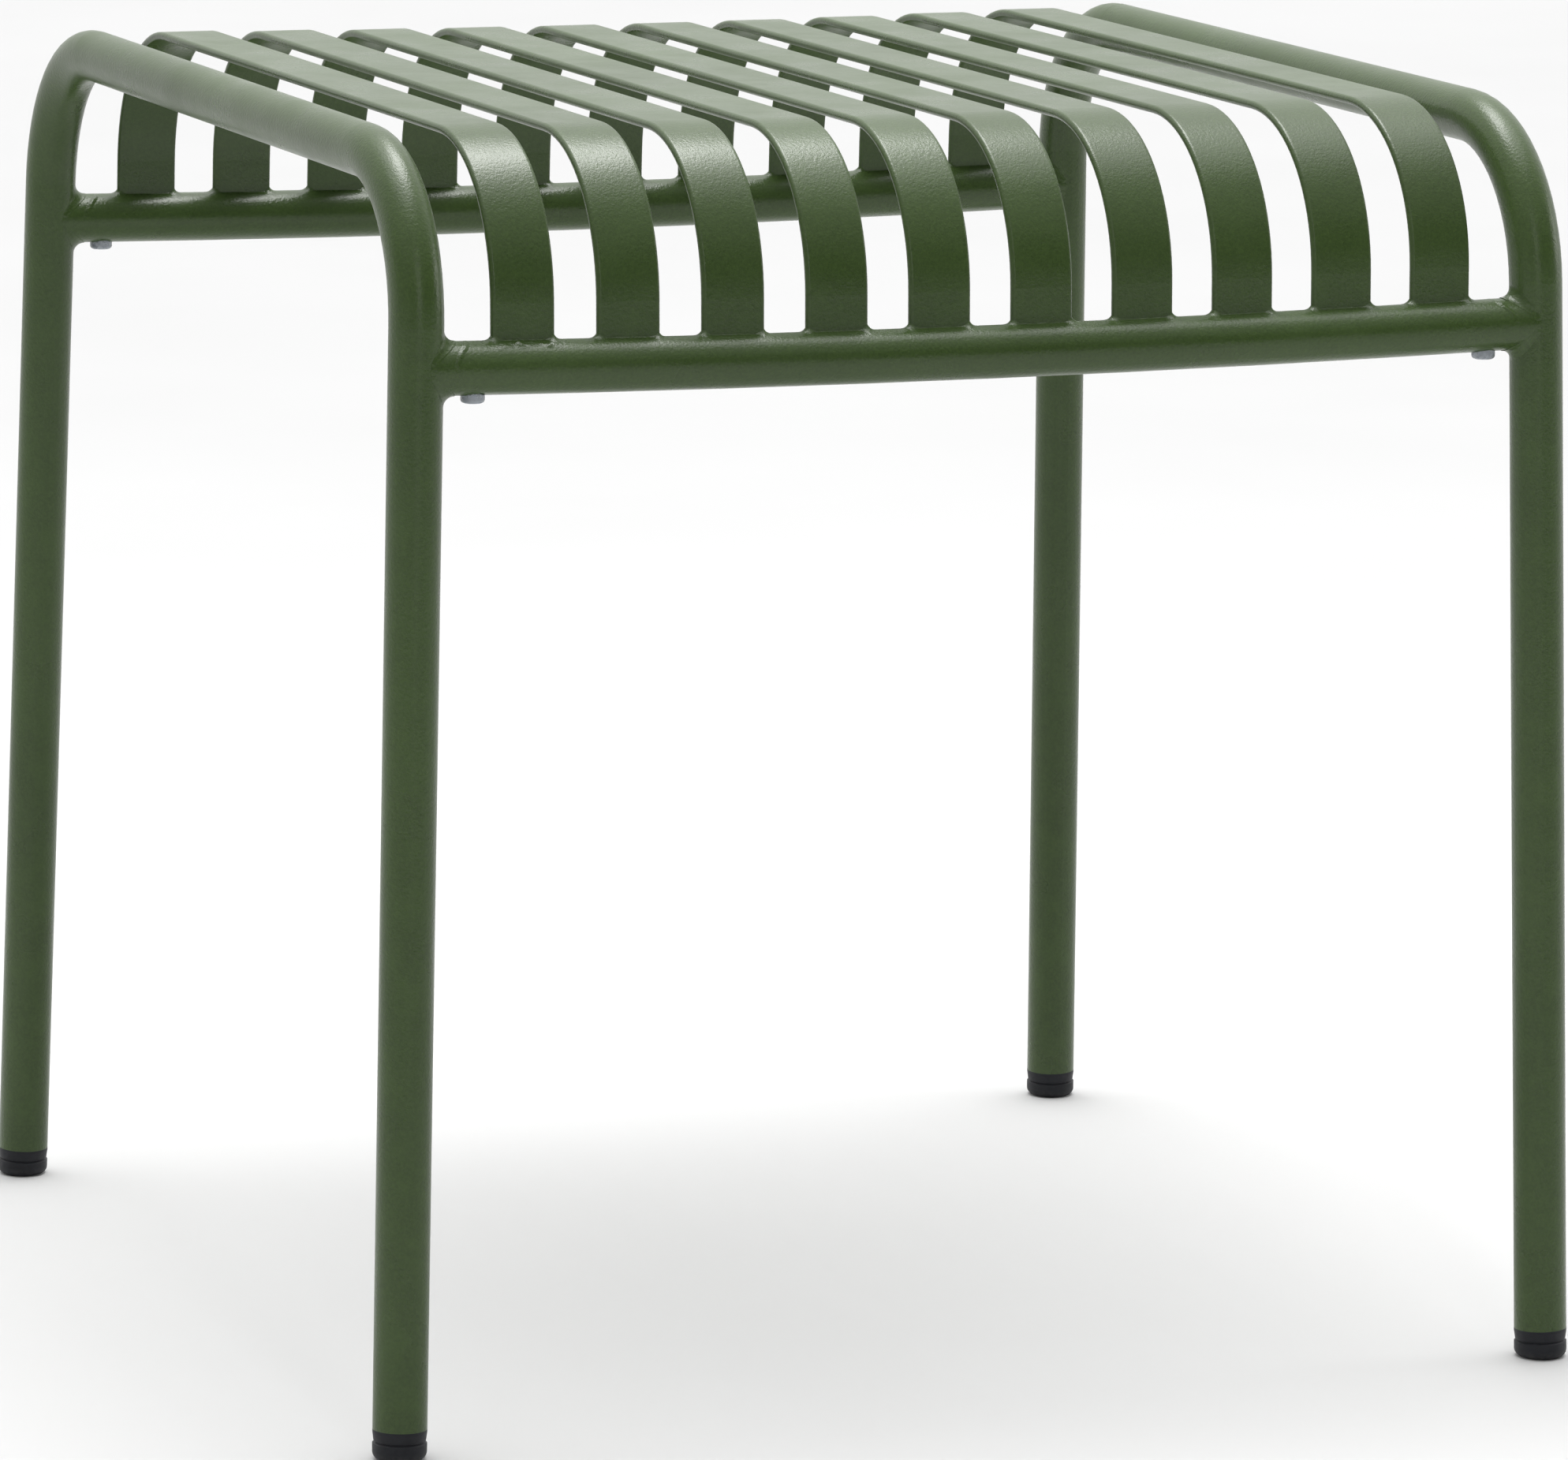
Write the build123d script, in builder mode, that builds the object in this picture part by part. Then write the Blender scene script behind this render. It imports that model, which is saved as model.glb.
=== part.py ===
from build123d import *
import os

os.makedirs("parts", exist_ok=True)

# ---------------------------------------------------------------- sizes, mm
TUBE_OD = 19.0            # legs and side top bars
TUBE_WALL = 1.5
RAIL_OD = 18.6            # cross rails, a shade thinner so that they saddle onto the legs
RAIL_SAG = 2.4            # the rails dip by this much at mid span, and the slats with them
LEG_SPAN_X = 422.0        # leg axis to leg axis along the rails, at rail height
LEG_SPAN_Y = 422.0        # leg axis to leg axis front to back, at rail height
RAIL_Z = 376.5            # height of the cross rail axes
BAR_Z = 444.5             # height of the side top bar axes
SPLAY_X = 0.021           # outward lean of the legs per mm of drop, sideways
SPLAY_Y = 0.033           # outward lean of the legs per mm of drop, front and back
BEND_R = 55.5             # centreline radius of the two top bends of a side frame

SLAT_COUNT = 10
SLAT_PITCH = LEG_SPAN_X / (SLAT_COUNT + 1)
SLAT_W = 23.0             # width of the flat bar
SLAT_T = 3.0              # thickness of the flat bar, whose edges are fully round
SLAT_TOP_Z = 453.4        # level the slat tops would have at the ends of the rails
SLAT_BEND_R = 55.5        # centreline radius of a slat bend

CAP_H = 10.6              # visible height of a foot cap
CAP_GROOVE_Z = 6.4        # height of the groove round a foot cap
CAP_BOTTOM_R = 2.9        # rounded lower edge of a foot cap
PLUG_LEN = 22.0           # plug of the cap inside the tube
PLUG_R = 7.95

BUMPER_X = 20.5           # stacking bumper, distance from the leg axis
BUMPER_R = 4.2
BUMPER_H = 2.6
BUMPER_STEM_R = 1.75

RAIL_WELD_R = 4.2         # throat radius of the rail to leg welds
SLAT_WELD_LEG = 1.6       # leg length of the slat to rail welds

GAP = 0.02                # fit-up clearance at coped and welded joints

R = TUBE_OD / 2
RI = R - TUBE_WALL
RC = R + GAP
RR = RAIL_OD / 2
RRI = RR - TUBE_WALL
RRC = RR + GAP
HX = LEG_SPAN_X / 2
HY = LEG_SPAN_Y / 2
SIDES = {"left": -1, "right": 1}
ENDS = {"front": -1, "rear": 1}


def leg_axis(side, end, z):
    """Point of a leg axis at height z."""
    return Vector(side * (HX + SPLAY_X * (RAIL_Z - z)), end * (HY + SPLAY_Y * (RAIL_Z - z)), z)


def leg_plane(side, end, z):
    """Plane square to a leg, its z direction pointing up along the leg axis."""
    a, b = leg_axis(side, end, z), leg_axis(side, end, z + 100)
    return Plane(origin=a, x_dir=(1, 0, 0), z_dir=b - a)


def sag(x):
    """How far the rails have dipped at x."""
    return RAIL_SAG * (1 - (x / HX) ** 2)


def sag_slope(x):
    """Slope dz/dx of the rail axis at x."""
    return 2 * RAIL_SAG * x / HX ** 2


def frame_plane(side):
    """Leaning plane of a side frame: local x runs front to back, local y runs up."""
    return Plane(
        origin=(side * (HX + SPLAY_X * RAIL_Z), 0, 0),
        x_dir=(0, 1, 0),
        z_dir=(1, 0, side * SPLAY_X),
    )


def corner_y(z_top):
    """Half width of the untrimmed U where the leg lines meet the level z_top."""
    return HY + SPLAY_Y * (RAIL_Z - z_top)


# ---------------------------------------------------------------- side frames
FOOT_Y = HY + SPLAY_Y * (RAIL_Z - CAP_H)

for side_name, side in SIDES.items():
    with BuildPart() as side_frame:
        with BuildLine(frame_plane(side)) as frame_path:
            FilletPolyline(
                (-FOOT_Y, CAP_H),
                (-corner_y(BAR_Z), BAR_Z),
                (corner_y(BAR_Z), BAR_Z),
                (FOOT_Y, CAP_H),
                radius=BEND_R,
            )
        with BuildSketch(Plane(origin=frame_path.line @ 0, z_dir=frame_path.line % 0)) as tube_section:
            Circle(R)
            Circle(RI, mode=Mode.SUBTRACT)
        sweep(path=frame_path.line)
    side_frame.part.label = f"side_frame_{side_name}"
    export_step(side_frame.part, f"parts/side_frame_{side_name}.step")

# ---------------------------------------------------------------- cross rails
RAIL_PLANE = Plane(origin=(0, -HY, RAIL_Z), x_dir=(1, 0, 0), z_dir=(0, -1, 0))

with BuildPart() as front_rail:
    with BuildLine(RAIL_PLANE) as rail_axis:
        ThreePointArc((-HX, 0), (0, -RAIL_SAG), (HX, 0))
    with BuildSketch(Plane(origin=rail_axis.line @ 0, z_dir=rail_axis.line % 0)) as rail_section:
        Circle(RR)
        Circle(RRI, mode=Mode.SUBTRACT)
    sweep(path=rail_axis.line)
    # saddle cuts where the rail meets the legs
    for side in (-1, 1):
        with BuildSketch(leg_plane(side, -1, RAIL_Z - 20)) as saddle:
            Circle(RC)
        extrude(amount=40, mode=Mode.SUBTRACT)
    # bumper holes in the lower wall
    with BuildSketch(Plane.XY.offset(RAIL_Z - R - 1)) as holes:
        with Locations((BUMPER_X - HX, -HY), (HX - BUMPER_X, -HY)):
            Circle(BUMPER_STEM_R)
    extrude(amount=R, mode=Mode.SUBTRACT)
front_rail.part.label = "front_rail"
export_step(front_rail.part, "parts/front_rail.step")

with BuildPart() as rear_rail:
    mirror(front_rail.part, about=Plane.XZ)
rear_rail.part.label = "rear_rail"
export_step(rear_rail.part, "parts/rear_rail.step")

# plain round cores with fit-up clearance, used only to cope and seat other pieces
with BuildPart() as front_core:
    with BuildLine(RAIL_PLANE) as core_axis:
        ThreePointArc((-HX, 0), (0, -RAIL_SAG), (HX, 0))
    with BuildSketch(Plane(origin=core_axis.line @ 0, z_dir=core_axis.line % 0)) as core_section:
        Circle(RRC)
    sweep(path=core_axis.line)
with BuildPart() as rear_core:
    mirror(front_core.part, about=Plane.XZ)
CORES = {"front": front_core.part, "rear": rear_core.part}

# ---------------------------------------------------------------- seat slats
SLAT_MID_Z = SLAT_TOP_Z - SLAT_T / 2
SLAT_FOOT_Z = RAIL_Z + R - 2.5
SLAT_FOOT_Y = HY + SPLAY_Y * (RAIL_Z - SLAT_FOOT_Z)

for number in range(1, SLAT_COUNT + 1):
    x = -HX + SLAT_PITCH * number
    with BuildPart() as slat:
        with BuildLine(Plane(origin=(x, 0, -sag(x)), x_dir=(0, 1, 0), z_dir=(1, 0, 0))) as slat_path:
            FilletPolyline(
                (-SLAT_FOOT_Y, SLAT_FOOT_Z),
                (-corner_y(SLAT_MID_Z), SLAT_MID_Z),
                (corner_y(SLAT_MID_Z), SLAT_MID_Z),
                (SLAT_FOOT_Y, SLAT_FOOT_Z),
                radius=SLAT_BEND_R,
            )
        with BuildSketch(
            Plane(origin=slat_path.line @ 0, x_dir=(1, 0, 0), z_dir=slat_path.line % 0)
        ) as bar_section:
            SlotOverall(SLAT_W, SLAT_T)
        sweep(path=slat_path.line)
        # the ends are coped to the round rails
        add(CORES["front"], mode=Mode.SUBTRACT)
        add(CORES["rear"], mode=Mode.SUBTRACT)
    slat.part.label = f"slat_{number:02d}"
    export_step(slat.part, f"parts/slat_{number:02d}.step")

# ---------------------------------------------------------------- foot caps
for side_name, side in SIDES.items():
    for end_name, end in ENDS.items():
        with BuildPart() as cap:
            cap_plane = leg_plane(side, end, CAP_H)
            with BuildSketch(
                Plane(origin=cap_plane.origin, x_dir=cap_plane.x_dir, z_dir=-cap_plane.y_dir)
            ) as cap_profile:
                with BuildLine() as cap_outline:
                    Polyline(
                        (0, PLUG_LEN),
                        (PLUG_R - 1.2, PLUG_LEN),
                        (PLUG_R, PLUG_LEN - 1.6),
                        (PLUG_R, 0),
                        (R, 0),
                        (R, -1.0),
                        (R - 0.4, CAP_GROOVE_Z - CAP_H + 0.3),
                        (R - 0.8, CAP_GROOVE_Z - CAP_H + 0.1),
                        (R - 0.8, CAP_GROOVE_Z - CAP_H - 0.2),
                        (R, CAP_GROOVE_Z - CAP_H - 0.7),
                        (R, -CAP_H - 4),
                        (0, -CAP_H - 4),
                        close=True,
                    )
                make_face()
            revolve(axis=Axis(cap_plane.origin, cap_plane.z_dir))
            # flat sole on the floor, with a rounded rim
            with BuildSketch(Plane.XY.offset(-20)) as floor_cut:
                with Locations((cap_plane.origin.X, cap_plane.origin.Y)):
                    Rectangle(60, 60)
            extrude(amount=20, mode=Mode.SUBTRACT)
            fillet(cap.edges().group_by(Axis.Z)[0], radius=CAP_BOTTOM_R)
        cap.part.label = f"foot_cap_{end_name}_{side_name}"
        export_step(cap.part, f"parts/foot_cap_{end_name}_{side_name}.step")

# ---------------------------------------------------------------- stacking bumpers
for side_name, side in SIDES.items():
    for end_name, end in ENDS.items():
        bx, by = side * (HX - BUMPER_X), end * HY
        under = RAIL_Z - RR - sag(bx)
        with BuildPart() as bumper:
            with BuildSketch(Plane.XY.offset(under - BUMPER_H)) as head:
                with Locations((bx, by)):
                    Circle(BUMPER_R)
            extrude(amount=BUMPER_H + 1.2)
            fillet(bumper.edges().group_by(Axis.Z)[0], radius=1.3)
            # the head is seated on the round underside of the rail
            add(CORES[end_name], mode=Mode.SUBTRACT)
            # stem through the rail wall with a retaining tip
            with BuildSketch(Plane.XY.offset(under - 0.5)) as stem:
                with Locations((bx, by)):
                    Circle(BUMPER_STEM_R - 0.05)
            extrude(amount=5)
            chamfer(bumper.edges().group_by(Axis.Z)[-1], length=0.6)
        bumper.part.label = f"stacking_bumper_{end_name}_{side_name}"
        export_step(bumper.part, f"parts/stacking_bumper_{end_name}_{side_name}.step")

# ---------------------------------------------------------------- rail to leg welds
# Concave fillet of a ball of radius RAIL_WELD_R rolling between two equal round tubes:
# the ball centre runs on an ellipse in the plane that halves the corner.
W = RAIL_WELD_R
DIAG = 2 ** 0.5
for side_name, side in SIDES.items():
    for end_name, end in ENDS.items():
        joint = Vector(side * HX, end * HY, RAIL_Z)
        inward = Vector(-side, 0, -side * sag_slope(side * HX)).normalized()
        upward = (leg_axis(side, end, RAIL_Z + 100) - joint).normalized()
        with BuildPart() as rail_weld:
            for up in (1, -1):
                along = (inward + upward * up).normalized()     # bisects the corner
                across = (inward - upward * up).normalized()    # square to the bisecting plane
                with BuildSketch(
                    Plane(origin=joint - across * (W / DIAG), x_dir=along, z_dir=across)
                ) as wedge:
                    Ellipse((2 * R + W) / DIAG, R)
                    with Locations((-25, 0)):
                        Rectangle(56, 60, mode=Mode.SUBTRACT)
                    Rectangle(80, 2 * 9.2, mode=Mode.INTERSECT)
                extrude(amount=2 * W / DIAG)
            for up in (1, -1):
                along = (inward + upward * up).normalized()
                across = (inward - upward * up).normalized()
                with BuildLine(Plane(origin=joint, x_dir=along, z_dir=across)) as ball_path:
                    EllipticalCenterArc((0, 0), (R + W) * DIAG, R + W, start_angle=-86, arc_size=172)
                with BuildSketch(Plane(origin=ball_path.line @ 0, z_dir=ball_path.line % 0)) as ball:
                    Circle(W)
                sweep(path=ball_path.line, mode=Mode.SUBTRACT)
            add(CORES[end_name], mode=Mode.SUBTRACT)
            with BuildSketch(leg_plane(side, end, RAIL_Z - 30)) as leg_core:
                Circle(RC)
            extrude(amount=60, mode=Mode.SUBTRACT)
        rail_weld.part.label = f"rail_weld_{end_name}_{side_name}"
        export_step(rail_weld.part, f"parts/rail_weld_{end_name}_{side_name}.step")

# ---------------------------------------------------------------- slat to rail welds
beads = []
for number in range(1, SLAT_COUNT + 1):
    x = -HX + SLAT_PITCH * number
    seat = Vector(x, -HY, RAIL_Z - sag(x))
    run = Vector(1, 0, sag_slope(x)).normalized()
    lean = Vector(0, SPLAY_Y, 1).normalized()
    with BuildPart() as bead:
        with BuildSketch(Plane(origin=seat - run * 14.3, x_dir=(0, 1, 0), z_dir=run)) as rail_piece:
            Circle(RR)
        extrude(amount=28.6)
        with BuildSketch(Plane(origin=seat, x_dir=(1, 0, 0), z_dir=lean)) as bar_piece:
            SlotOverall(SLAT_W, SLAT_T)
        extrude(amount=22)
        joint_edges = [
            e for e in bead.edges()
            if abs(e.center().X - x) < SLAT_W / 2 + 0.3
            and seat.Z + RR - 2 < e.center().Z < seat.Z + RR + 1
            and abs(e.center().Y + HY) < SLAT_T
            and e.bounding_box().size.Z < 2
        ]
        chamfer(joint_edges, length=SLAT_WELD_LEG)
        add(CORES["front"], mode=Mode.SUBTRACT)
        with BuildSketch(Plane(origin=seat, x_dir=(1, 0, 0), z_dir=lean)) as bar_again:
            SlotOverall(SLAT_W + 2 * GAP, SLAT_T + 2 * GAP)
        extrude(amount=24, mode=Mode.SUBTRACT)
    beads.append(bead.part)

with BuildPart() as slat_welds_front:
    add(beads)
slat_welds_front.part.label = "slat_welds_front"
export_step(slat_welds_front.part, "parts/slat_welds_front.step")

with BuildPart() as slat_welds_rear:
    mirror(slat_welds_front.part, about=Plane.XZ)
slat_welds_rear.part.label = "slat_welds_rear"
export_step(slat_welds_rear.part, "parts/slat_welds_rear.step")
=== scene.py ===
import math
import random

import bmesh
import bpy
from mathutils import Matrix, Vector


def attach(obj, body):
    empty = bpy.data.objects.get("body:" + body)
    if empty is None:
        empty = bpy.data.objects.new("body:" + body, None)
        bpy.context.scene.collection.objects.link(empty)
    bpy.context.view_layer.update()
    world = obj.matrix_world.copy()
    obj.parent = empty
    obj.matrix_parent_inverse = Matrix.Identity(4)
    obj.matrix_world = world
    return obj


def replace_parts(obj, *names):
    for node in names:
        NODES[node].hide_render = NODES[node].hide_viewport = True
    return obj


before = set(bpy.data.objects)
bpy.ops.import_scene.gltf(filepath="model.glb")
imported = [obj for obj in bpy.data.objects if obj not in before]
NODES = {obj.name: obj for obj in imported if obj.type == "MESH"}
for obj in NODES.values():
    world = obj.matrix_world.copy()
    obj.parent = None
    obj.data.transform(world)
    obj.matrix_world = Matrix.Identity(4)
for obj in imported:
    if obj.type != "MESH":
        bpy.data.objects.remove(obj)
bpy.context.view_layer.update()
random.seed(7)

T = 0.019                 # tube diameter, the unit the camera was worked out in


# ------------------------------------------------------------------ helpers
def node_tree(name):
    mat = bpy.data.materials.new(name)
    mat.use_nodes = True
    nt = mat.node_tree
    nt.nodes.clear()
    return mat, nt


class Net:
    """Short way to add and link shader nodes."""

    def __init__(self, nt):
        self.nt = nt

    def add(self, kind, inputs=None, **props):
        n = self.nt.nodes.new(kind)
        for k, v in props.items():
            setattr(n, k, v)
        for k, v in (inputs or {}).items():
            sock = n.inputs[k]
            if isinstance(v, bpy.types.NodeSocket):
                self.nt.links.new(v, sock)
            else:
                sock.default_value = v
        return n

    def ramp(self, fac, stops, interpolation="LINEAR"):
        n = self.nt.nodes.new("ShaderNodeValToRGB")
        r = n.color_ramp
        r.interpolation = interpolation
        while len(r.elements) < len(stops):
            r.elements.new(0.5)
        for e, (p, c) in zip(r.elements, stops):
            e.position = p
            e.color = c if len(c) == 4 else (*c, 1)
        self.nt.links.new(fac, n.inputs["Fac"])
        return n

    def math(self, op, a, b=None, clamp=False):
        n = self.nt.nodes.new("ShaderNodeMath")
        n.operation = op
        n.use_clamp = clamp
        for i, v in enumerate((a, b)):
            if v is None:
                continue
            if isinstance(v, bpy.types.NodeSocket):
                self.nt.links.new(v, n.inputs[i])
            else:
                n.inputs[i].default_value = v
        return n.outputs[0]

    def mix(self, fac, a, b, blend="MIX"):
        n = self.nt.nodes.new("ShaderNodeMix")
        n.data_type = "RGBA"
        n.blend_type = blend
        for sock, v in ((n.inputs[0], fac), (n.inputs[6], a), (n.inputs[7], b)):
            if isinstance(v, bpy.types.NodeSocket):
                self.nt.links.new(v, sock)
            else:
                sock.default_value = v if not isinstance(v, tuple) or len(v) == 4 else (*v, 1)
        return n.outputs[2]


def srgb(r, g, b):
    def f(c):
        c /= 255
        return c / 12.92 if c <= 0.04045 else ((c + 0.055) / 1.055) ** 2.4
    return f(r), f(g), f(b)


# ------------------------------------------------------------------ materials
def powder_coat(name, seed, peel=1.0, tint=(1, 1, 1)):
    """Fine-textured satin powder coat: orange peel, pinhead speckle, slow colour drift, thin edges."""
    mat, nt = node_tree(name)
    n = Net(nt)
    out = n.add("ShaderNodeOutputMaterial")
    bsdf = n.add("ShaderNodeBsdfPrincipled")
    nt.links.new(bsdf.outputs["BSDF"], out.inputs["Surface"])
    coord = n.add("ShaderNodeTexCoord")
    mapped = n.add("ShaderNodeMapping", {"Vector": coord.outputs["Object"], "Location": (seed * 1.7, seed * 0.9, seed * 0.4)})
    P = mapped.outputs["Vector"]

    base = tuple(c * t for c, t in zip((0.038, 0.067, 0.0162), tint))
    dark = tuple(c * 0.90 for c in base)
    lite = tuple(min(1, c * 1.10) for c in base)
    # slow drift of colour along the tubes
    drift = n.add("ShaderNodeTexNoise", {"Vector": P, "Scale": 9.0, "Detail": 3.0, "Roughness": 0.55})
    tone = n.ramp(drift.outputs["Fac"], [(0.30, dark), (0.50, base), (0.72, lite)])
    # fine speckle of the powder
    speck = n.add("ShaderNodeTexNoise", {"Vector": P, "Scale": 900.0, "Detail": 2.0, "Roughness": 0.6})
    speck_f = n.ramp(speck.outputs["Fac"], [(0.36, (0.82, 0.83, 0.82)), (0.50, (1, 1, 1)), (0.66, (1.22, 1.20, 1.17))])
    c1 = n.mix(0.55, tone.outputs["Color"], speck_f.outputs["Color"], "MULTIPLY")
    # mottling a few millimetres across
    mott = n.add("ShaderNodeTexNoise", {"Vector": P, "Scale": 160.0, "Detail": 4.0, "Roughness": 0.6})
    mott_f = n.ramp(mott.outputs["Fac"], [(0.32, (0.93, 0.94, 0.92)), (0.5, (1, 1, 1)), (0.70, (1.06, 1.05, 1.05))])
    c2 = n.mix(0.6, c1, mott_f.outputs["Color"], "MULTIPLY")
    # the coat is thinner and rubbed on sharp edges
    geo = n.add("ShaderNodeNewGeometry")
    edge = n.ramp(geo.outputs["Pointiness"], [(0.50, (0, 0, 0)), (0.60, (1, 1, 1))])
    wear_n = n.add("ShaderNodeTexNoise", {"Vector": P, "Scale": 70.0, "Detail": 5.0, "Roughness": 0.7})
    wear = n.math("MULTIPLY", edge.outputs["Color"], n.ramp(wear_n.outputs["Fac"], [(0.45, (0, 0, 0)), (0.65, (1, 1, 1))]).outputs["Color"])
    c3 = n.mix(n.math("MULTIPLY", wear, 0.35), c2, tuple(min(1, c * 1.55) for c in base))
    nt.links.new(c3, bsdf.inputs["Base Color"])
    # roughness follows the peel
    rough_n = n.add("ShaderNodeTexNoise", {"Vector": P, "Scale": 35.0, "Detail": 4.0, "Roughness": 0.6})
    rough = n.add("ShaderNodeMapRange", {"Value": rough_n.outputs["Fac"], "From Min": 0.3, "From Max": 0.7, "To Min": 0.25, "To Max": 0.34})
    nt.links.new(rough.outputs["Result"], bsdf.inputs["Roughness"])
    bsdf.inputs["Metallic"].default_value = 0.0
    bsdf.inputs["IOR"].default_value = 1.52
    bsdf.inputs["Specular IOR Level"].default_value = 0.36
    # orange peel and grain
    peel_n = n.add("ShaderNodeTexNoise", {"Vector": P, "Scale": 880.0, "Detail": 2.0, "Roughness": 0.55})
    grain_n = n.add("ShaderNodeTexNoise", {"Vector": P, "Scale": 1700.0, "Detail": 2.0, "Roughness": 0.5})
    height = n.math("ADD", peel_n.outputs["Fac"], n.math("MULTIPLY", grain_n.outputs["Fac"], 0.55))
    bump = n.add("ShaderNodeBump", {"Height": height, "Strength": 0.60 * peel, "Distance": 0.00020})
    nt.links.new(bump.outputs["Normal"], bsdf.inputs["Normal"])
    return mat


def foot_plastic(name):
    mat, nt = node_tree(name)
    n = Net(nt)
    out = n.add("ShaderNodeOutputMaterial")
    bsdf = n.add("ShaderNodeBsdfPrincipled")
    nt.links.new(bsdf.outputs["BSDF"], out.inputs["Surface"])
    coord = n.add("ShaderNodeTexCoord")
    P = coord.outputs["Object"]
    sep = n.add("ShaderNodeSeparateXYZ", {"Vector": P})
    scuff = n.add("ShaderNodeTexNoise", {"Vector": P, "Scale": 420.0, "Detail": 5.0, "Roughness": 0.65})
    low = n.add("ShaderNodeMapRange", {"Value": sep.outputs["Z"], "From Min": 0.0035, "From Max": 0.0, "To Min": 0.0, "To Max": 1.0})
    dust = n.math("MULTIPLY", n.ramp(scuff.outputs["Fac"], [(0.42, (0, 0, 0)), (0.62, (1, 1, 1))]).outputs["Color"], low.outputs["Result"])
    body_n = n.add("ShaderNodeTexNoise", {"Vector": P, "Scale": 150.0, "Detail": 3.0})
    body = n.ramp(body_n.outputs["Fac"], [(0.3, srgb(15, 17, 22)), (0.7, srgb(24, 26, 32))])
    col = n.mix(n.math("MULTIPLY", dust, 0.4), body.outputs["Color"], srgb(92, 90, 88))
    nt.links.new(col, bsdf.inputs["Base Color"])
    rg = n.add("ShaderNodeMapRange", {"Value": scuff.outputs["Fac"], "From Min": 0.3, "From Max": 0.7, "To Min": 0.46, "To Max": 0.62})
    nt.links.new(rg.outputs["Result"], bsdf.inputs["Roughness"])
    bsdf.inputs["IOR"].default_value = 1.49
    bsdf.inputs["Specular IOR Level"].default_value = 0.35
    tex = n.add("ShaderNodeTexNoise", {"Vector": P, "Scale": 1500.0, "Detail": 2.0})
    bump = n.add("ShaderNodeBump", {"Height": tex.outputs["Fac"], "Strength": 0.25, "Distance": 0.00012})
    nt.links.new(bump.outputs["Normal"], bsdf.inputs["Normal"])
    return mat


def bumper_plastic(name):
    mat, nt = node_tree(name)
    n = Net(nt)
    out = n.add("ShaderNodeOutputMaterial")
    bsdf = n.add("ShaderNodeBsdfPrincipled")
    nt.links.new(bsdf.outputs["BSDF"], out.inputs["Surface"])
    coord = n.add("ShaderNodeTexCoord")
    P = coord.outputs["Object"]
    cloud = n.add("ShaderNodeTexNoise", {"Vector": P, "Scale": 380.0, "Detail": 3.0})
    col = n.ramp(cloud.outputs["Fac"], [(0.3, srgb(146, 152, 158)), (0.7, srgb(176, 182, 188))])
    nt.links.new(col.outputs["Color"], bsdf.inputs["Base Color"])
    rg = n.add("ShaderNodeMapRange", {"Value": cloud.outputs["Fac"], "From Min": 0.3, "From Max": 0.7, "To Min": 0.22, "To Max": 0.34})
    nt.links.new(rg.outputs["Result"], bsdf.inputs["Roughness"])
    bsdf.inputs["IOR"].default_value = 1.45
    bsdf.inputs["Transmission Weight"].default_value = 0.35
    bsdf.inputs["Subsurface Weight"].default_value = 0.25
    bsdf.inputs["Subsurface Radius"].default_value = (0.003, 0.003, 0.004)
    bsdf.inputs["Subsurface Scale"].default_value = 0.5
    tex = n.add("ShaderNodeTexNoise", {"Vector": P, "Scale": 1200.0, "Detail": 1.0})
    bump = n.add("ShaderNodeBump", {"Height": tex.outputs["Fac"], "Strength": 0.12, "Distance": 0.0001})
    nt.links.new(bump.outputs["Normal"], bsdf.inputs["Normal"])
    return mat


FRAME_COAT = powder_coat("frame_coat_green", 1)
SLAT_COAT = powder_coat("slat_coat_green", 3, peel=0.9)
WELD_COAT = powder_coat("weld_coat_green", 5, peel=1.3)
FOOT = foot_plastic("foot_cap_plastic")
BUMPER = bumper_plastic("stacking_bumper_plastic")


def paint(obj, mat):
    obj.data.materials.clear()
    obj.data.materials.append(mat)


for name, obj in NODES.items():
    if name.startswith(("slat_welds", "rail_weld")):
        paint(obj, WELD_COAT)
    elif name.startswith("slat_"):
        paint(obj, SLAT_COAT)
    elif name.startswith("foot_cap"):
        paint(obj, FOOT)
    elif name.startswith("stacking_bumper"):
        paint(obj, BUMPER)
    else:
        paint(obj, FRAME_COAT)


# ------------------------------------------------------------------ slat welds, smoothed over by the coat
HALF = 0.211              # leg axis to leg axis is 422 mm both ways
RAIL_Z0 = 0.3765
RAIL_DIP = 0.0024
RAIL_R = 0.0093
SPLAY = 0.033
PITCH = 0.422 / 11
SLAT_HALF_W = 0.0115
SLAT_HALF_T = 0.0015


def stadium(half_w, half_t, straight=26, round_end=12):
    """Points and outward normals round the section of a flat bar with round edges."""
    pts = []
    flat = half_w - half_t
    for i in range(straight):
        x = -flat + 2 * flat * i / straight
        pts.append((x, -half_t, 0.0, -1.0))
    for i in range(round_end):
        a = -math.pi / 2 + math.pi * i / round_end
        pts.append((flat + half_t * math.cos(a), half_t * math.sin(a), math.cos(a), math.sin(a)))
    for i in range(straight):
        x = flat - 2 * flat * i / straight
        pts.append((x, half_t, 0.0, 1.0))
    for i in range(round_end):
        a = math.pi / 2 + math.pi * i / round_end
        pts.append((-flat + half_t * math.cos(a), half_t * math.sin(a), math.cos(a), math.sin(a)))
    return pts


def wobble(phases, u):
    return sum(amp * math.sin(k * u * 2 * math.pi + ph) for k, amp, ph in phases)


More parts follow.
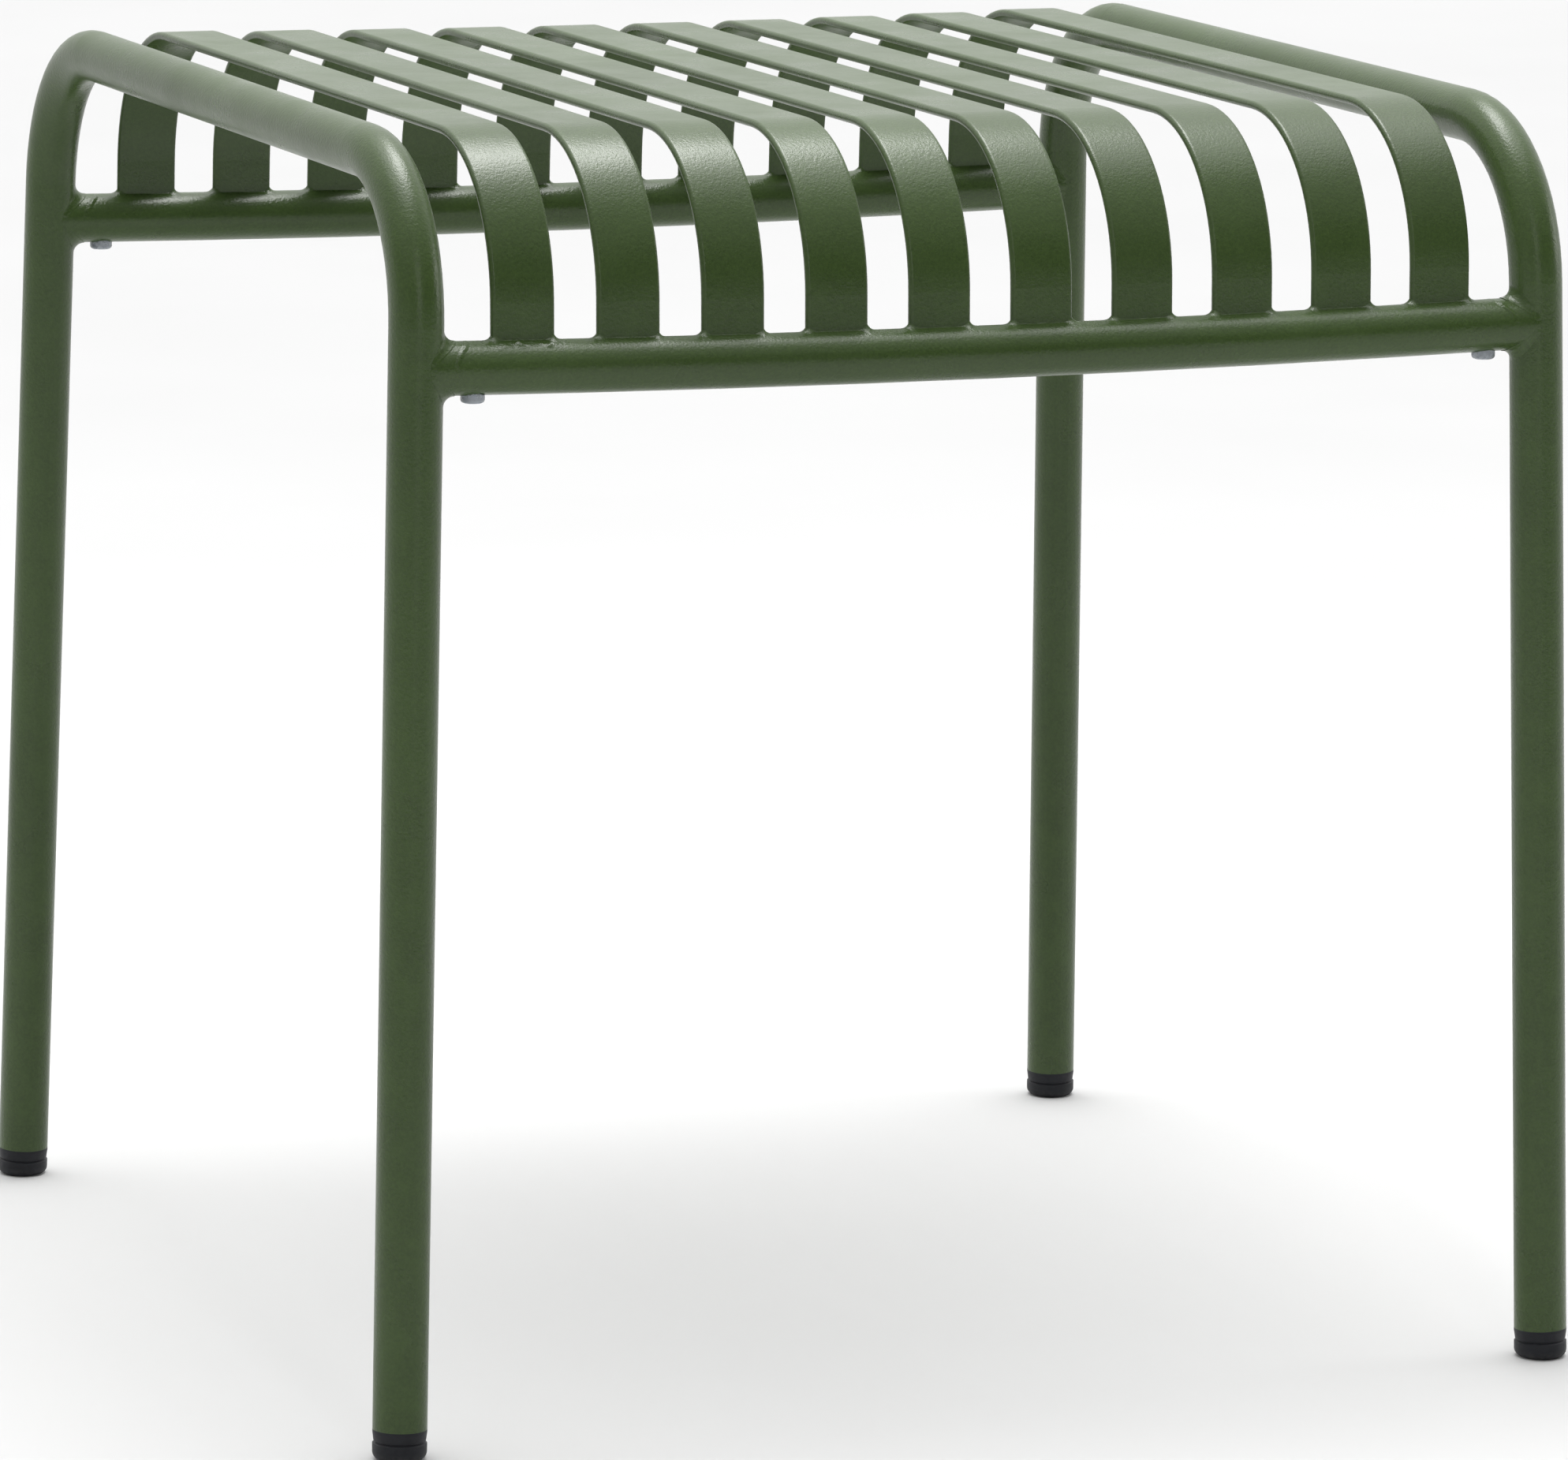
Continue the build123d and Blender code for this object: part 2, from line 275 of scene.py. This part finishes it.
def weld_skirts(name, end):
    """One coated fillet round the foot of every slat on one rail, each a little different."""
    bm = bmesh.new()
    loop = stadium(SLAT_HALF_W, SLAT_HALF_T)
    count = len(loop)
    for number in range(1, 11):
        x0 = -HALF + PITCH * number
        big = [(k, random.uniform(0.02, 0.07), random.uniform(0, 6.28)) for k in (1, 2, 3, 5, 8)]
        fine = [(k, random.uniform(0.008, 0.022), random.uniform(0, 6.28)) for k in (13, 21, 34)]
        lumps = [(random.uniform(-0.0095, 0.0105), random.uniform(0.0024, 0.0062), random.uniform(0.0003, 0.0008),
                  random.uniform(0.00012, 0.00034)) for _ in range(26)] if (end < 0 and number == 1) else []
        spread = 0.0062 if lumps else 0.0012
        rows = []
        steps = [("arc", t / 9) for t in range(10)] + [("film", t / (14 if lumps else 4)) for t in range(1, (15 if lumps else 5))]
        for kind, t in steps:
            row = []
            for i, (px, py, nx, ny) in enumerate(loop):
                u = i / count
                grow = 1 + wobble(big, u) + wobble(fine, u)
                # more weld metal round the thin edges than on the broad faces
                edge = min(1.0, max(0.0, (abs(px) - 0.0080) / 0.0030))
                edge = edge * edge * (3 - 2 * edge)
                reach = (0.0009 + 0.0017 * edge) * grow
                rise = (0.0006 + 0.0021 * edge) * grow
                if kind == "arc":
                    a = t * math.pi / 2
                    d = -0.00025 + (reach + 0.00025) * (1 - math.cos(a))
                    h = 0.00006 + rise * (1 - math.sin(a))  # meets the film tangentially
                else:
                    out_way = spread if (ny < -0.3 and lumps) else 0.0012
                    d = reach + out_way * t
                    h = 0.00006 - 0.00011 * t - (0.00030 if t > 0.99 else 0.0)
                x = px + nx * d
                s = py + ny * d
                if kind == "film":
                    for lx, ls, lr, lh in lumps:
                        r2 = ((x - lx) ** 2 + (s + ls) ** 2) / lr ** 2
                        if r2 < 6:
                            h += lh * math.exp(-r2) * (1 - t ** 6)
                ang = s / RAIL_R
                lean = (h if kind == "arc" else 0.0) * SPLAY
                foot_in = 0.0003 * (1 - t) if kind == "arc" else 0.0
                if kind == "arc":
                    y = RAIL_R * math.sin(ang)
                    z = RAIL_R * math.cos(ang) + h
                else:
                    y = (RAIL_R + h) * math.sin(ang)
                    z = (RAIL_R + h) * math.cos(ang)
                gx = x0 + x
                dip = RAIL_DIP * (1 - (gx / HALF) ** 2)
                gy = -HALF + y + foot_in + lean
                row.append(bm.verts.new((gx, gy if end < 0 else -gy, RAIL_Z0 - dip + z)))
            rows.append(row)
        # underside, hidden in the rail and the slat, closes the shell
        for depth_d, depth_h in ((0.0010, -0.0006), (-0.0008, -0.0004), (-0.0008, 0.0022)):
            row = []
            for px, py, nx, ny in loop:
                x, s = px + nx * depth_d, py + ny * depth_d
                ang = s / RAIL_R
                gx = x0 + x
                dip = RAIL_DIP * (1 - (gx / HALF) ** 2)
                gy = -HALF + RAIL_R * math.sin(ang) + 0.0003
                row.append(bm.verts.new((gx, gy if end < 0 else -gy, RAIL_Z0 - dip + RAIL_R * math.cos(ang) + depth_h)))
            rows.append(row)
        for k in range(len(rows)):
            a, b = rows[k], rows[(k + 1) % len(rows)]
            for i in range(count):
                j = (i + 1) % count
                bm.faces.new((a[i], b[i], b[j], a[j]))
    bmesh.ops.recalc_face_normals(bm, faces=bm.faces)
    me = bpy.data.meshes.new(name)
    bm.to_mesh(me)
    bm.free()
    for p in me.polygons:
        p.use_smooth = True
    ob = bpy.data.objects.new(name, me)
    bpy.context.scene.collection.objects.link(ob)
    paint(ob, WELD_COAT)
    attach(ob, "root")
    return ob


def weld_toes(name):
    """Slight raised toe of each rail weld, running diagonally round the rail."""
    bm = bmesh.new()
    for side in (-1, 1):
        for end in (-1, 1):
            for face in (1, -1):
                tall = random.uniform(0.00028, 0.00040)
                reach = random.uniform(0.0060, 0.0075)
                bumps = [(k, random.uniform(0.03, 0.10), random.uniform(0, 6.28)) for k in (2, 3, 5, 9, 14)]
                rows = []
                for i in range(49):
                    t = i / 48
                    ang = math.radians(8 + 76 * t)
                    off = 0.0020 + reach * math.sin(ang) ** 2 + 0.0012 * wobble(bumps, t)
                    taper = math.sin(math.pi * min(1, max(0, t)))
                    row = []
                    for j in range(13):
                        u = -1.5 + j / 4
                        swell = math.cos(math.pi * u / 2) ** 2 if abs(u) < 1 else 0.0
                        h = tall * taper * (1 + 1.2 * wobble(bumps, t * 1.7)) * swell - 0.00002 - 0.00016 * max(0.0, abs(u) - 0.99)
                        x = side * (HALF - 0.0095 - off + u * 0.0015)
                        dip = RAIL_DIP * (1 - (x / HALF) ** 2)
                        row.append((x, end * HALF + end * face * (RAIL_R + h) * math.cos(ang), RAIL_Z0 - dip + (RAIL_R + h) * math.sin(ang)))
                    for u in (1, -1):
                        x = side * (HALF - 0.0095 - off + u * 0.0020)
                        dip = RAIL_DIP * (1 - (x / HALF) ** 2)
                        row.append((x, end * HALF + end * face * (RAIL_R - 0.0004) * math.cos(ang), RAIL_Z0 - dip + (RAIL_R - 0.0004) * math.sin(ang)))
                    rows.append([bm.verts.new(p) for p in row])
                for a, b in zip(rows, rows[1:]):
                    for i in range(len(a)):
                        j = (i + 1) % len(a)
                        bm.faces.new((a[i], b[i], b[j], a[j]))
                bm.faces.new(rows[0])
                bm.faces.new(list(reversed(rows[-1])))
    bmesh.ops.recalc_face_normals(bm, faces=bm.faces)
    me = bpy.data.meshes.new(name)
    bm.to_mesh(me)
    bm.free()
    for p in me.polygons:
        p.use_smooth = True
    ob = bpy.data.objects.new(name, me)
    bpy.context.scene.collection.objects.link(ob)
    paint(ob, WELD_COAT)
    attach(ob, "root")
    return ob


weld_toes("rail_weld_toes")
for end_name, end in (("front", -1), ("rear", 1)):
    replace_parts(weld_skirts("slat_weld_fillets_" + end_name, end), "slat_welds_" + end_name)


# ------------------------------------------------------------------ stage
def add_mesh(name, verts, faces):
    me = bpy.data.meshes.new(name)
    me.from_pydata(verts, [], faces)
    me.update()
    ob = bpy.data.objects.new(name, me)
    bpy.context.scene.collection.objects.link(ob)
    return ob


floor = add_mesh("studio_floor", [(-40, -40, 0), (40, -40, 0), (40, 40, 0), (-40, 40, 0)], [(0, 1, 2, 3)])
mat, nt = node_tree("studio_floor_paper")
n = Net(nt)
out = n.add("ShaderNodeOutputMaterial")
bsdf = n.add("ShaderNodeBsdfPrincipled", {"Roughness": 0.85})
bsdf.inputs["Specular IOR Level"].default_value = 0.2
coord = n.add("ShaderNodeTexCoord")
paper = n.add("ShaderNodeTexNoise", {"Vector": coord.outputs["Object"], "Scale": 3.0, "Detail": 3.0})
tone = n.ramp(paper.outputs["Fac"], [(0.3, (0.610, 0.610, 0.610)), (0.7, (0.625, 0.625, 0.625))])
nt.links.new(tone.outputs["Color"], bsdf.inputs["Base Color"])
nt.links.new(bsdf.outputs["BSDF"], out.inputs["Surface"])
floor.data.materials.append(mat)


# ------------------------------------------------------------------ light
def area(name, loc, target, size, power, colour=(1, 1, 1), size_y=None):
    light = bpy.data.lights.new(name, "AREA")
    light.energy = power
    light.color = colour
    light.shape = "RECTANGLE" if size_y else "SQUARE"
    light.size = size
    if size_y:
        light.size_y = size_y
    ob = bpy.data.objects.new(name, light)
    bpy.context.scene.collection.objects.link(ob)
    ob.location = loc
    ob.rotation_mode = "QUATERNION"
    ob.rotation_quaternion = (Vector(target) - Vector(loc)).to_track_quat("-Z", "Y")
    return ob


area("overhead_softbox", (0.11, 0.18, 1.57), (-0.16, -0.14, 0.45), 0.46, 9.6, (1.0, 1.0, 0.99), 0.66)
area("front_strip", (-0.36, -2.35, 1.15), (-0.1, -0.2, 0.40), 0.16, 4.5, (1.0, 1.0, 1.0), 1.5)
area("right_softbox", (2.1, -0.25, 0.75), (0.1, 0, 0.38), 0.5, 4.0, (1.0, 0.99, 0.97), 0.7)

# studio: bright overhead silk a little behind the seat, pale back wall, darker room in front
world = bpy.data.worlds.new("studio")
bpy.context.scene.world = world
world.use_nodes = True
nt = world.node_tree
nt.nodes.clear()
n = Net(nt)
out = n.add("ShaderNodeOutputWorld")
bg = n.add("ShaderNodeBackground", {"Strength": 1.0})
nt.links.new(bg.outputs["Background"], out.inputs["Surface"])
coord = n.add("ShaderNodeTexCoord")
direction = n.add("ShaderNodeVectorMath", {0: coord.outputs["Generated"]}, operation="NORMALIZE").outputs["Vector"]


def lobe(vec, outer, inner):
    """1 inside the cone of half angle inner round vec, 0 outside outer, smooth between."""
    v = Vector(vec).normalized()
    d = n.add("ShaderNodeVectorMath", {0: direction, 1: tuple(v)}, operation="DOT_PRODUCT").outputs["Value"]
    return n.add("ShaderNodeMapRange", {
        "Value": d, "From Min": math.cos(math.radians(outer)), "From Max": math.cos(math.radians(inner)),
        "To Min": 0.0, "To Max": 1.0}, interpolation_type="SMOOTHSTEP").outputs["Result"]


overhead = lobe((0.05, 0.15, 1.0), 36, 10)
ceiling = lobe((0.05, 0.0, 1.0), 78, 30)
left_wall = lobe((-1.0, -0.05, 0.15), 70, 25)
back = lobe((0.25, 1.0, 0.10), 105, 45)
total = n.math("ADD", n.math("MULTIPLY", overhead, 2.9), n.math("MULTIPLY", back, 1.0))
total = n.math("ADD", total, n.math("MULTIPLY", ceiling, 0.68))
total = n.math("ADD", total, n.math("MULTIPLY", left_wall, 0.35))
total = n.math("ADD", total, 0.015)
grey = n.add("ShaderNodeCombineColor", {"Red": total, "Green": total, "Blue": total})
nt.links.new(grey.outputs["Color"], bg.inputs["Color"])

# ------------------------------------------------------------------ camera
CAM = dict(x=-62.238581, y=-156.362218, z=41.905806, yaw=0.381624, pitch=0.183332, roll=0.013932, f=11065.307, cx=994.0, cy=925.5)
cy, sy = math.cos(CAM["yaw"]), math.sin(CAM["yaw"])
cp, sp = math.cos(CAM["pitch"]), math.sin(CAM["pitch"])
cr, sr = math.cos(CAM["roll"]), math.sin(CAM["roll"])
right = Vector((cy, -sy, 0))
level = Vector((sy, cy, 0))
up = Vector((0, 0, 1))
f2 = level * cp - up * sp
u2 = up * cp + level * sp
r3 = right * cr + u2 * sr
u3 = -right * sr + u2 * cr
cam_data = bpy.data.cameras.new("camera")
cam = bpy.data.objects.new("camera", cam_data)
bpy.context.scene.collection.objects.link(cam)
cam.matrix_world = Matrix((
    (r3.x, u3.x, -f2.x, CAM["x"] * T),
    (r3.y, u3.y, -f2.y, CAM["y"] * T),
    (r3.z, u3.z, -f2.z, CAM["z"] * T),
    (0, 0, 0, 1),
))
cam_data.sensor_width = 36
cam_data.lens = CAM["f"] / 1988 * 36
cam_data.clip_start = 0.05
cam_data.clip_end = 200
bpy.context.scene.camera = cam

bpy.context.scene.view_settings.view_transform = "Standard"
